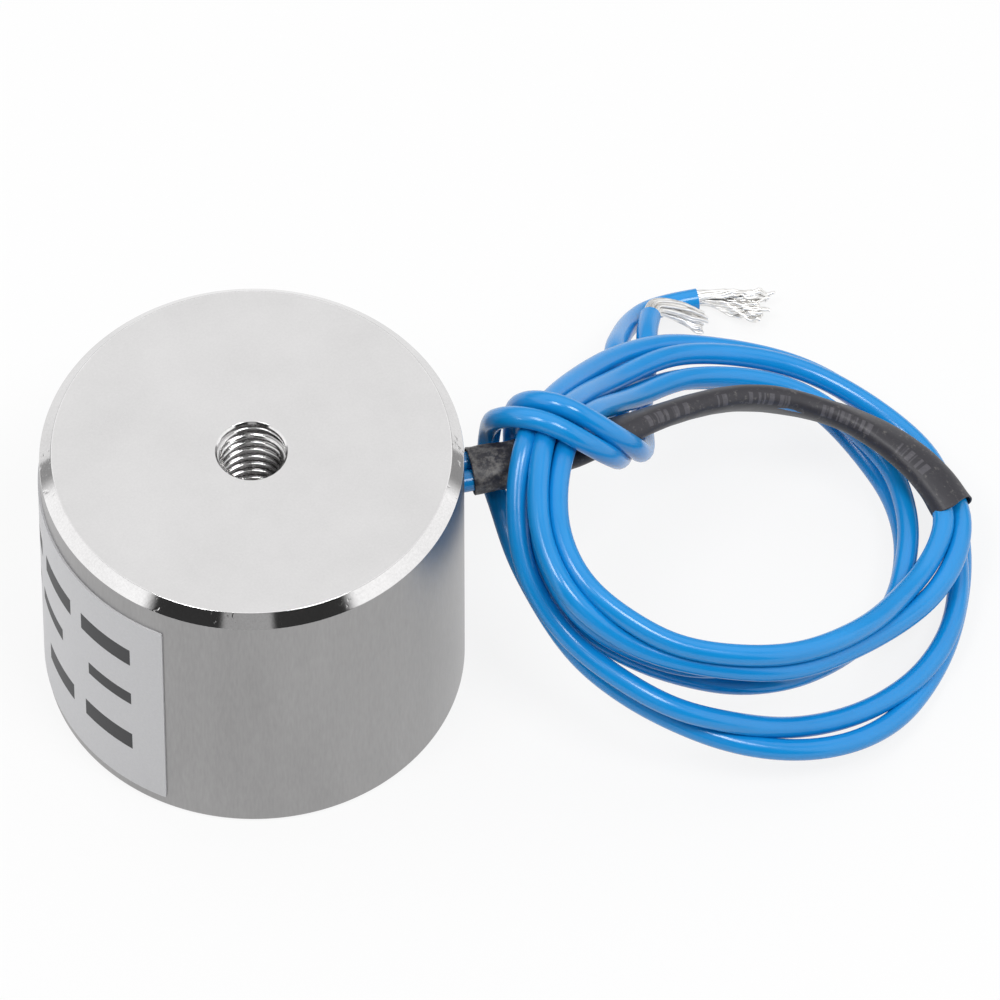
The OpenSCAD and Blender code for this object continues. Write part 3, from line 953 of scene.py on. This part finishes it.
def thread():
    """The M4 thread in the tapped hole."""
    carrier = linked("thread_carrier", bpy.data.meshes.new("thread_carrier"))
    low_end = POT_H - THREAD_TOP_GAP - THREAD_TURNS * THREAD_PITCH
    piece = grown("back_thread_m4", carrier, thread_tree(), {
        "Pitch": THREAD_PITCH * MM, "Turns": THREAD_TURNS, "Major radius": THREAD_MAJOR_R * MM,
        "Ridge height": (THREAD_MAJOR_R - THREAD_MINOR_R) * MM, "Ridge foot": RIDGE_FOOT * MM,
        "Ridge crest": RIDGE_CREST * MM, "Low end": low_end * MM})
    dress(piece, "plated_steel")


thread()


# Resin in the holding face: level in the middle, drawn up at both walls
def resin_ring():
    """The poured ring, spun from a section with a meniscus at each wall."""
    inner, outer = POLE_R + RESIN_GAP, GROOVE_R - RESIN_GAP
    section = []
    for k in range(RESIN_STEPS + 1):
        share = k / RESIN_STEPS
        r = inner + (outer - inner) * (0.5 - 0.5 * math.cos(math.pi * share))
        nearest = min(r - inner, outer - r)
        section.append((r, RESIN_RECESS - MENISCUS_RISE * math.exp(-nearest / MENISCUS_REACH)))
    section += [(outer, RESIN_TOP), (inner, RESIN_TOP)]
    count = len(section)
    vertices, faces = [], []
    for k in range(SEGMENTS):
        a = 2 * math.pi * k / SEGMENTS
        wave = 0.015 * math.sin(3 * a + 0.4) + 0.01 * math.sin(7 * a)
        for i, (r, z) in enumerate(section):
            lift = wave * math.sin(math.pi * i / RESIN_STEPS) if i <= RESIN_STEPS else 0.0
            vertices.append((r * math.cos(a), r * math.sin(a), z + lift))
    loops = [range(k * count, (k + 1) * count) for k in range(SEGMENTS)]
    for k, loop in enumerate(loops):
        join_loops(loop, loops[(k + 1) % SEGMENTS], faces)
    piece = mesh_object("potting_resin_ring", vertices, faces, resin)
    tidy_mesh(piece)
    dress(piece, "potting_resin", "potting_ring")


resin_ring()


# Label: a film wrapped round the wall
def label():
    """The film as a thin curved slab with small corner rounds and a map in mm along and up it."""
    corner, columns, rows = 0.1, 96, 40
    half_l, half_h = LABEL_LENGTH / 2, LABEL_HEIGHT / 2
    vertices, faces, flat = [], [], []
    for layer in range(2):
        radius = POT_R + layer * (LABEL_ADHESIVE + LABEL_FILM) - (1 - layer) * LABEL_SUNK
        for j in range(rows + 1):
            v = -half_h + LABEL_HEIGHT * j / rows
            for i in range(columns + 1):
                u = -half_l + LABEL_LENGTH * i / columns
                over_u, over_v = abs(u) - (half_l - corner), abs(v) - (half_h - corner)
                uu, vv = u, v
                if over_u > 0 and over_v > 0:
                    scale = max(over_u, over_v) / math.hypot(over_u, over_v)
                    uu = math.copysign(half_l - corner + over_u * scale, u)
                    vv = math.copysign(half_h - corner + over_v * scale, v)
                a = math.pi + uu / POT_R
                z = LABEL_LOW + half_h + vv
                vertices.append((radius * math.cos(a), radius * math.sin(a), z))
                flat.append((uu, vv))
    width = columns + 1
    back = (rows + 1) * width
    for j in range(rows):
        for i in range(columns):
            a = j * width + i
            b, c, d = a + 1, a + width + 1, a + width
            faces.append((a + back, b + back, c + back, d + back))
            faces.append((a, d, c, b))
    rim = list(range(columns)) + [j * width + columns for j in range(rows)]
    rim += [rows * width + i for i in range(columns, 0, -1)] + [j * width for j in range(rows, 0, -1)]
    for k, a in enumerate(rim):
        b = rim[(k + 1) % len(rim)]
        faces.append((a, b, b + back, a + back))
    piece = mesh_object("label_film_wrap", vertices, faces, film)
    lay_flat(piece, "film_mm", flat)
    piece.data.set_sharp_from_angle(angle=math.radians(SHARP_ANGLE))
    dress(piece, "label_film", "label")


label()


# Hidden pieces keep their CAD shapes with their own materials
NODE_MATERIALS = {
    "bobbin": moulded_plastic("nylon_natural_moulded", "#ece8dc", "#ded9c9", 0.6, 0.45),
    "winding": wound_copper(),
    "winding_tape": moulded_plastic("polyester_tape_amber", "#dfc052", "#cfae3e", 0.8, 0.3),
    "splice_a": moulded_plastic("splice_tube_black", "#2e2e31", "#232326", 0.3, 0.5),
}
NODE_MATERIALS["splice_b"] = NODE_MATERIALS["splice_a"]
for node, material in NODE_MATERIALS.items():
    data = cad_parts[node].data
    data.materials.clear()
    data.materials.append(material)


# Stage: a pale floor under soft panels, with the dark of the room round the camera
# Floor: its level in mm, its half width in metres, and how far it is bleached
FLOOR_Z = -0.02
FLOOR_HALF_M = 3
FLOOR_BLEACH = 0.85
SKY = 0.36
# Each panel: azimuth of its middle from +X, half width, low and high edge, softness in degrees, and radiance
PANELS = [
    (-106, 50, -20, 58, 4, 0.04), (-105, 12, 12, 50, 2, 0.40), (175, 33, -2, 50, 4, 1.25),
    (-22, 33, 2, 46, 4, 1.25), (77, 75, 28, 95, 8, 1.15),
]
# Each lamp: name, azimuth from +X and elevation in degrees, and radiance
SOFT_BOXES = [("soft_box_right", -60, 64, 14.0), ("soft_box_left", -150, 62, 12.0)]
LAMP_DISTANCE_M = 1.2
LAMP_SIDE_M = 0.35
LAMP_AIM_M = Vector((0.02, 0, 0))


def floor_paper():
    """Matt white paper: camera and mirror rays see it mostly bleached to the white of the picture, so that it
    stays pale and still carries the shadow."""
    material, tree = new_material("matt_white_paper")
    path = add(tree, "ShaderNodeLightPath")
    seen = calc(tree, "MAXIMUM", path.outputs["Is Camera Ray"], path.outputs["Is Glossy Ray"])
    seen = calc(tree, "MAXIMUM", seen, path.outputs["Is Transmission Ray"])
    share = calc(tree, "MULTIPLY", seen, FLOOR_BLEACH)
    paper = add(tree, "ShaderNodeBsdfDiffuse", {"Color": linear("#dcdcdc")})
    white = add(tree, "ShaderNodeEmission", {"Color": (1, 1, 1, 1), "Strength": 1.0})
    shader = add(tree, "ShaderNodeMixShader", {0: share, 1: paper.outputs[0], 2: white.outputs[0]})
    add(tree, "ShaderNodeOutputMaterial", {0: shader.outputs[0]})
    return material


def lay_floor():
    """A large square of paper just under the holding face."""
    square = ((-1, -1), (1, -1), (1, 1), (-1, 1))
    mesh = bpy.data.meshes.new("floor")
    mesh.from_pydata([(x * FLOOR_HALF_M, y * FLOOR_HALF_M, FLOOR_Z * MM) for x, y in square], [], [(0, 1, 2, 3)])
    mesh.materials.append(floor_paper())
    piece = linked("floor", mesh)


lay_floor()


def soft_box(name, azimuth, elevation, radiance):
    """An area lamp aimed at the magnet."""
    data = bpy.data.lights.new(name, "AREA")
    data.shape = "RECTANGLE"
    data.size, data.size_y = LAMP_SIDE_M, LAMP_SIDE_M
    data.energy = radiance * math.pi * LAMP_SIDE_M * LAMP_SIDE_M
    lamp = linked(name, data)
    a, e = math.radians(azimuth), math.radians(elevation)
    away = Vector((math.cos(a) * math.cos(e), math.sin(a) * math.cos(e), math.sin(e)))
    lamp.location = away * LAMP_DISTANCE_M + LAMP_AIM_M
    lamp.rotation_mode = "QUATERNION"
    lamp.rotation_quaternion = away.to_track_quat("Z", "Y")


def panel_share(tree, azimuth, elevation, panel):
    """How far a direction lies inside a soft-edged panel, from 0 to 1."""
    middle, half, low, high, soft, _ = [math.radians(value) for value in panel]
    aside = calc(tree, "SUBTRACT", azimuth, middle)
    aside = calc(tree, "WRAP", aside, math.pi, -math.pi)
    aside = calc(tree, "ABSOLUTE", aside)
    share = None
    for value, edge, inside in ((aside, half, -1), (elevation, low, 1), (elevation, high, -1)):
        step = add(tree, "ShaderNodeMapRange", {0: value, 1: edge - inside * soft, 2: edge + inside * soft},
                   interpolation_type="SMOOTHSTEP").outputs[0]
        share = step if share is None else calc(tree, "MULTIPLY", share, step)
    return share


def light_stage():
    """A dim even sky with bright panels left, right and behind, and two lamps for the crisp highlights."""
    world = bpy.data.worlds.new("studio")
    world.use_nodes = True
    tree = world.node_tree
    tree.nodes.clear()
    output = tree.nodes.new("ShaderNodeOutputWorld")
    axes = add(tree, "ShaderNodeSeparateXYZ", {0: add(tree, "ShaderNodeTexCoord").outputs["Generated"]})
    azimuth = calc(tree, "ARCTAN2", axes.outputs[1], axes.outputs[0])
    elevation = calc(tree, "ARCSINE", axes.outputs[2])
    radiance = SKY
    for panel in PANELS:
        share = panel_share(tree, azimuth, elevation, panel)
        radiance = add(tree, "ShaderNodeMix", {0: share, 2: radiance, 3: panel[5]}).outputs[0]
    sky = add(tree, "ShaderNodeBackground", {"Color": (1, 1, 1, 1), "Strength": radiance})
    tree.links.new(sky.outputs[0], output.inputs[0])
    bpy.context.scene.world = world
    for lamp in SOFT_BOXES:
        soft_box(*lamp)
    bpy.context.scene.view_settings.view_transform = "Standard"


light_stage()
